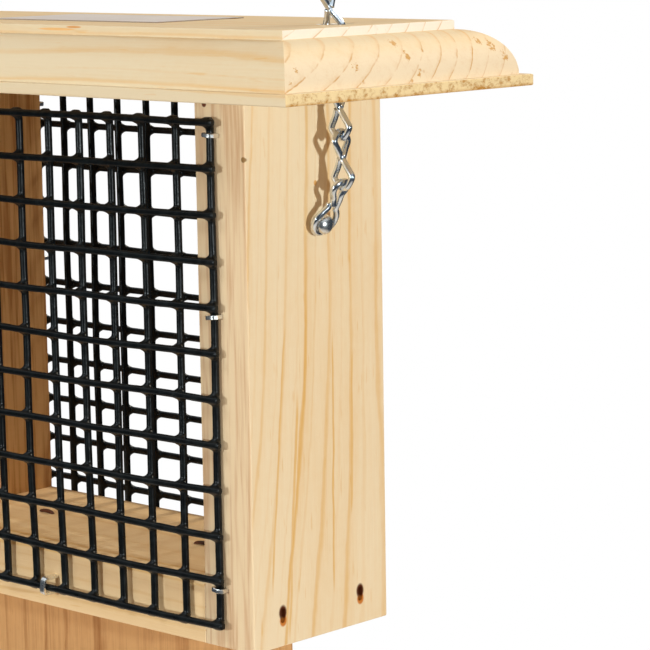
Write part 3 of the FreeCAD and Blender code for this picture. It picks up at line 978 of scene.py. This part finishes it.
def smoothed(points, rounds):
    """Corner-cutting that keeps the two ends where they are."""
    points = [Vector(p) for p in points]
    for _ in range(rounds):
        cut_points = [points[0]]
        for a, b in zip(points, points[1:]):
            cut_points.append(a.lerp(b, CORNER_CUT))
            cut_points.append(b.lerp(a, CORNER_CUT))
        cut_points.append(points[-1])
        points = cut_points
    return points[::2] + [points[-1]]


def straight_links(start, along, count, pitch=LINK_PITCH):
    """Links hanging in a straight line from start, the seat of the first one's top wire."""
    across = Vector((-along.z, 0.0, along.x))
    parts = []
    for number in range(count):
        seat = start + along * (number * pitch)
        top = seat - along * CHAIN_WIRE_R
        bottom = seat + along * (pitch + CHAIN_WIRE_R)
        parts.append(link_wire(top, bottom, across))
    return parts


def chain_piece(name, node, body, parts, side, material):
    piece = merge_parts(name, parts)
    if side < 0.0:
        flip_x(piece)
    paint(piece, material)
    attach(piece, body)
    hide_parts(node)


def joint_place(name):
    return Vector(JOINTS[name]["pos_m"])


def chains(material):
    upper_pivot = joint_place("chain_right_upper_lean")
    bend = joint_place("chain_right_lower_lean")
    along = (bend - upper_pivot).normalized()
    across = Vector((-along.z, 0.0, along.x))
    middle = upper_pivot + along * (UPPER_RUN_LINKS * LINK_PITCH)
    ring_lo, ring_hi = (Vector(c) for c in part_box("hanging_ring"))
    ring_middle = (ring_lo + ring_hi) / 2.0
    ring_wire = (ring_hi.y - ring_lo.y) / 2.0
    ring_inner = (ring_hi.x - ring_lo.x) / 2.0 - 2.0 * ring_wire
    top_of_link = ring_middle + along * (ring_inner - CHAIN_WIRE_R - RING_GAP)
    tops = []
    runs = (("upper", upper_pivot, UPPER_RUN_LINKS), ("lower", middle, LOWER_RUN_LINKS))
    for side in (1.0, -1.0):
        chain = "chain_right_" if side > 0.0 else "chain_left_"
        for run, start, count in runs:
            links = straight_links(start, along, count)
            chain_piece(chain + run + "_wire", chain + run, chain + run + "_run", links, side, material)
        chain_piece(chain + "anchor_wire", chain + "anchor", "cage", anchor_parts(bend), side, material)
        bottom_of_link = upper_pivot + along * CHAIN_WIRE_R
        link = link_wire(top_of_link, bottom_of_link, across)
        if side < 0.0:
            verts, faces = link
            verts = [Vector((-v.x, v.y, v.z)) for v in verts]
            link = (verts, [tuple(reversed(face)) for face in faces])
        tops.append(link)
    piece = merge_parts("chain_top_links_wire", tops)
    paint(piece, material)
    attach(piece, "chain_top")
    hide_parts("chain_top_links")


def anchor_parts(bend):
    lean = math.radians(ANCHOR_LEAN)
    up = Vector((math.sin(lean), 0.0, math.cos(lean)))
    seat_z = BASE_Z + SCREW_Z - SCREW_SHANK_R - CHAIN_WIRE_R - SEAT_GAP
    bottom = Vector((RIGHT_HI.x + CHAIN_WIRE_R + ANCHOR_OFF_BOARD, 0.0, seat_z))
    top = bottom + up * ANCHOR_LENGTH
    share = 1.0 - ANCHOR_WAIST / ANCHOR_LENGTH
    parts = [anchor_wire(top, bottom, share)]
    foot = Vector((top.x, 0.0, top.z - CHAIN_WIRE_R))
    run = foot - bend
    parts += straight_links(bend, run.normalized(), ANCHOR_LINKS, run.length / ANCHOR_LINKS)
    return parts


def chain_screws(material):
    """Round-headed screws: a shank from inside the board out to the head, turned about X."""
    under = SCREW_HEAD_GAP
    profile = [(-SCREW_SUNK, 0.0), (-SCREW_SUNK, SCREW_SHANK_R), (under, SCREW_SHANK_R),
               (under, SCREW_HEAD_R * SCREW_UNDER), (under + SCREW_EDGE, SCREW_HEAD_R)]
    for i in range(1, SCREW_DOME_STEPS + 1):
        angle = (math.pi / 2.0) * i / SCREW_DOME_STEPS
        profile.append((under + SCREW_EDGE + (SCREW_HEAD_THICK - SCREW_EDGE) * math.sin(angle),
                        SCREW_HEAD_R * math.cos(angle)))
    for side, name in ((1.0, "right"), (-1.0, "left")):
        verts = []
        for depth, radius in profile:
            for k in range(SCREW_SIDES):
                angle = 2.0 * math.pi * k / SCREW_SIDES
                verts.append((RIGHT_HI.x + depth, radius * math.cos(angle),
                              BASE_Z + SCREW_Z + radius * math.sin(angle)))
        faces = ring_faces(len(profile), SCREW_SIDES)
        piece = new_object("chain_screw_" + name + "_head", verts, faces, smooth=True)
        bm = bmesh.new()
        bm.from_mesh(piece.data)
        bmesh.ops.remove_doubles(bm, verts=bm.verts, dist=1e-6)
        bmesh.ops.recalc_face_normals(bm, faces=bm.faces)
        bm.to_mesh(piece.data)
        bm.free()
        if side < 0.0:
            flip_x(piece)
        paint(piece, material)
        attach(piece, "cage")
        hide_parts("chain_screw_" + name)


# ---- stage: floor, lights and camera ----
FLOOR_BELOW = 12.0 * MM
FLOOR_RADIUS = 0.46
FLOOR_SIDES = 96
FLOOR_FADE = (0.20, 0.45)
FLOOR_PALE = (0.82, 0.82, 0.81, 1.0)
REFLECTED_LOW = (0.02, 0.03, 0.045)
REFLECTED_HIGH = (0.85, 0.93, 1.0)
FILL_LIGHT = 0.33
FILL_TINT = (1.0, 0.62, 0.34)
KEY_TINT = (0.87, 0.97, 1.0)
WARM_TINT = (1.0, 0.88, 0.70)
CAGE_MIDDLE = Vector((0.03, 0.0, BASE_Z + 0.09))
ROOF_MIDDLE = Vector((0.0, 0.0, ROOF_TOP))
# name, azimuth, elevation, distance, size, power, colour, target
LIGHTS = (
    ("key_right", 74.0, 5.0, 1.30, 0.05, 10.8, KEY_TINT, CAGE_MIDDLE),
    ("key_left", -8.0, 5.0, 1.40, 0.05, 7.2, KEY_TINT, CAGE_MIDDLE),
    ("front_high", -15.0, 52.0, 1.20, 0.40, 3.5, KEY_TINT, CAGE_MIDDLE),
    ("top_soft", 30.0, 86.0, 0.80, 0.35, 0.45, KEY_TINT, ROOF_MIDDLE),
    ("back_soft", 178.0, 40.0, 1.30, 0.40, 8.5, WARM_TINT, CAGE_MIDDLE),
)
# the camera stands at the photo's place: degrees, metres from the base's middle, lens in mm
CAMERA_AZIMUTH = 42.954
CAMERA_TILT = 8.647
CAMERA_ROLL = -0.910
CAMERA_FROM_BASE = (592.32 * MM, -545.08 * MM, 202.15 * MM)
LENS = 150.47
SENSOR = 36.0
CLIP = (0.01, 50.0)


def stage():
    bm = bmesh.new()
    bmesh.ops.create_circle(bm, cap_ends=True, segments=FLOOR_SIDES, radius=FLOOR_RADIUS,
                            matrix=Matrix.Translation((0.0, 0.0, PROP_LO.z - FLOOR_BELOW)))
    floor = object_from_bmesh("studio_floor", bm)
    n = material_nodes("studio_floor_pale")
    n.shade("Base Color", FLOOR_PALE)
    n.shade("Roughness", 0.8)
    x, y, _ = n.split(n.coords())
    radius = n.math("SQRT", n.add(n.times(x, x), n.times(y, y)))
    n.shade("Alpha", n.fall(radius, *FLOOR_FADE))
    paint(floor, n.material)


def world():
    """White to the camera, a dim warm fill on matt surfaces, dark to bright upwards in reflections."""
    made = bpy.data.worlds.new("studio_world")
    bpy.context.scene.world = made
    made.use_nodes = True
    n = Nodes(made.node_tree)
    background = n.tree.nodes["Background"]
    ray = n.node("LightPath").outputs
    height = n.split(n.coords("Generated"))[2]
    reflected = n.ramp(height, ((0.40, REFLECTED_LOW), (0.68, REFLECTED_HIGH)))
    fill = n.mix(ray["Is Diffuse Ray"], (1.0, 1.0, 1.0), tuple(FILL_LIGHT * c for c in FILL_TINT))
    n.link(n.mix(ray["Is Glossy Ray"], fill, reflected), background.inputs[0])
    background.inputs[1].default_value = 1.0


def away_at(azimuth, elevation):
    """The way out from the feeder, azimuth counted to the right of the front face's normal."""
    az = math.radians(azimuth)
    el = math.radians(elevation)
    return Vector((math.sin(az) * math.cos(el), -math.cos(az) * math.cos(el), math.sin(el)))


def area_light(name, azimuth, elevation, distance, size, power, colour, target):
    data = bpy.data.lights.new(name, "AREA")
    data.shape = "DISK"
    data.size = size
    data.energy = power
    data.color = colour
    lamp = bpy.data.objects.new(name, data)
    bpy.context.scene.collection.objects.link(lamp)
    away = away_at(azimuth, elevation)
    lamp.location = target + away * distance
    lamp.rotation_euler = (-away).to_track_quat("-Z", "Y").to_euler()


def camera():
    data = bpy.data.cameras.new("camera")
    data.sensor_width = SENSOR
    data.sensor_fit = "HORIZONTAL"
    data.lens = LENS
    data.clip_start, data.clip_end = CLIP
    cam = bpy.data.objects.new("camera", data)
    bpy.context.scene.collection.objects.link(cam)
    x, y, z = CAMERA_FROM_BASE
    az = math.radians(CAMERA_AZIMUTH)
    roll = math.radians(CAMERA_ROLL)
    back = away_at(CAMERA_AZIMUTH, CAMERA_TILT)
    right = Vector((math.cos(az), math.sin(az), 0.0))
    up = back.cross(right)
    turned_right = right * math.cos(roll) + up * math.sin(roll)
    turned_up = up * math.cos(roll) - right * math.sin(roll)
    turn = Matrix((turned_right, turned_up, back)).transposed()
    cam.matrix_world = Matrix.Translation((x, y, BASE_Z + z)) @ turn.to_4x4()
    bpy.context.scene.camera = cam


# ---- marks on the wood, in mm ----
BASE_MM = BASE_Z / MM
ROOF_MM = ROOF_TOP / MM
BOARD_MM = RIGHT_HI.x / MM
HALF_DEPTH_MM = RIGHT_HI.y / MM
# dark lines on the right board: Y at the low end, Y at the high end, low end, high end, half width
SIDE_STREAKS = (
    (5.0, 6.2, BASE_MM + 8.0, BASE_MM + 90.0, 0.55),
    (-13.6, -8.6, BASE_MM - 2.0, BASE_MM + 74.0, 0.75),
    (-20.5, -12.5, BASE_MM + 12.0, BASE_MM + 96.0, 0.60),
    (12.6, 14.4, BASE_MM + 30.0, BASE_MM + 84.0, 0.60),
)
NAIL_DARK = (0.10, 0.020, 0.004)
NAIL_RUST = (0.60, 0.20, 0.03)
# small knots and specks: centre, radii, colour
SIDE_KNOTS = (
    ((66.9, -27.5, BASE_MM + 151.2), (1.0, 0.8, 1.0), (0.16, 0.045, 0.02)),
    ((81.4, -27.5, BASE_MM + 136.7), (0.9, 1.4, 0.9), (0.30, 0.17, 0.06)),
    ((82.0, 0.0, BASE_MM + 128.3), (0.8, 0.7, 0.9), (0.75, 0.42, 0.14)),
)


def side_marks(side):
    """A dark mark over the upper part of each nail pocket, and the rusty mark at its lower end."""
    marks = []
    for y in (-NAIL_SPREAD / MM, NAIL_SPREAD / MM):
        z = (BASE_Z + NAIL_HEIGHT) / MM
        marks.append(((side * BOARD_MM, y + 0.1, z - 1.4), (2.4, 1.6, 2.0), NAIL_RUST))
        marks.append(((side * (BOARD_MM - 0.8), y, z + 0.9), (2.4, 1.9, 2.6), NAIL_DARK))
    return tuple(marks)


# the boards' front and back edges, and the left board's inner face painted darker as painted shade, as
# pine() takes them
PINE_EDGE = (0.845, 0.665, 0.430)
PINE_EDGE_DARK = (0.69, 0.46, 0.27)
LEFT_INNER_PAINTED_SHADE = (0, LEFT_HI.x / MM, 1.0, (0.78, 0.52, 0.265), (0.50, 0.26, 0.10))
FRONT_EDGES = (
    (1, -HALF_DEPTH_MM, -1.0, PINE_EDGE, PINE_EDGE_DARK),
    (1, HALF_DEPTH_MM, 1.0, PINE_EDGE, PINE_EDGE_DARK),
)
# torn end grain on the roof's ends: place along the end, height over the base, half width, half height
ROOF_TEARS = (
    (0.6, 167.2, 1.6, 1.3),
    (2.4, 163.8, 1.3, 2.0),
    (4.8, 158.6, 1.2, 1.2),
    (-45.0, 159.0, 1.1, 1.2),
    (-41.6, 162.2, 0.9, 1.2),
    (-19.0, 162.0, 1.8, 1.4),
    (34.6, 166.4, 1.6, 1.3),
    (38.6, 165.0, 2.0, 1.8),
    (42.4, 161.6, 1.6, 2.2),
)


def roof_marks():
    """Small tears in the end grain of the moulding, and one where the plane lifted the top edge."""
    marks = []
    for y, z, wide, tall in ROOF_TEARS:
        for side in (1.0, -1.0):
            centre = (side * (ROOF_HI.x / MM - 8.0), y * side, BASE_MM + z)
            marks.append((centre, (12.0, wide, tall), TEAR))
    marks.append(((16.0, ROOF_LO.y / MM + 15.5, ROOF_MM - 1.2), (9.0, 1.2, 0.45), (0.85, 0.52, 0.22)))
    marks.append(((23.0, ROOF_LO.y / MM + 15.5, ROOF_MM - 0.5), (3.5, 1.2, 0.35), (0.70, 0.34, 0.12)))
    return tuple(marks)


# ---- build ----
camera()
world()
for light in LIGHTS:
    area_light(*light)
stage()

LIP_TOP = (ROOF_LO.z + LIP) / MM
roof_wood = pine("pine_roof", "X", (-78.5, ROOF_MM + 83.0), ring=5.7, seed=1.0,
                 light=(0.795, 0.675, 0.470), wander=0.5, contrast=0.95, spots=roof_marks(),
                 rough_lip=(ROOF_HI.x / MM, ROOF_LO.z / MM, LIP_TOP, LIP_TOP + ROUND / MM))
right_wood = pine("pine_side_right", "Z", (-20.0, 60.0), ring=4.9, seed=2.0,
                  light=(0.875, 0.715, 0.485), wander=0.6, slope=0.068, flare=(0.0021, BASE_MM + 77.0),
                  streaks=SIDE_STREAKS, edges=FRONT_EDGES, spots=side_marks(1.0) + SIDE_KNOTS, rings=0.72)
left_wood = pine("pine_side_left", "Z", (-10.0, -70.0), ring=5.2, seed=3.0,
                 light=(0.86, 0.665, 0.400), wander=0.6, edges=FRONT_EDGES + (LEFT_INNER_PAINTED_SHADE,),
                 spots=side_marks(-1.0), rings=0.72)
floor_wood = pine("pine_floor", "X", (30.0, BASE_MM - 70.0), ring=5.5, seed=4.0,
                  light=(0.93, 0.68, 0.385), wander=0.5)
prop_wood = pine("pine_prop", "Z", (20.0, 80.0), ring=4.6, seed=5.0, light=(0.66, 0.375, 0.160),
                 dark=(0.36, 0.150, 0.045), end_light=(0.62, 0.38, 0.18), wander=0.6, contrast=1.1,
                 fibres=1.25, rings=0.50)
zinc = bright_metal("bright_zinc", (0.84, 0.88, 0.92), (0.62, 0.67, 0.72), 0.10, 0.26)
steel = bright_metal("bright_staple_steel", (0.86, 0.85, 0.82), (0.68, 0.67, 0.65), 0.18, 0.38)
# rust-brown steel for the floor nails and prop staples; its near-black on the prop staples is painted
# shade
rusty_shaded_steel = bright_metal("rusty_shaded_nail_steel", (0.115, 0.030, 0.008), (0.045, 0.014, 0.005), 0.60, 0.80,
                          metal=0.35)
vinyl_coat = vinyl()
film = label_film()

side_boards({"right": right_wood, "left": left_wood})
floor_piece(floor_wood)
prop_piece(prop_wood)
roof_piece(roof_wood)
for panel_name, panel_face, panel_layout in (("front", -1.0, FRONT_MESH), ("back", 1.0, BACK_MESH)):
    panel = mesh_panel("mesh_" + panel_name + "_wire", panel_face, panel_layout, vinyl_coat)
    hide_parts("mesh_" + panel_name)
all_staples(steel)
# the prop staples take the near-black steel as painted shade
prop_staples(rusty_shaded_steel)
chains(zinc)
chain_screws(steel)
shown_as_built = (("hanging_ring", zinc), ("s_hook", zinc), ("floor_nails_right", rusty_shaded_steel),
                  ("floor_nails_left", rusty_shaded_steel), ("roof_label", film))
for node, own_material in shown_as_built:
    paint(frame["nodes"][node], own_material)

bpy.context.scene.view_settings.view_transform = "Standard"
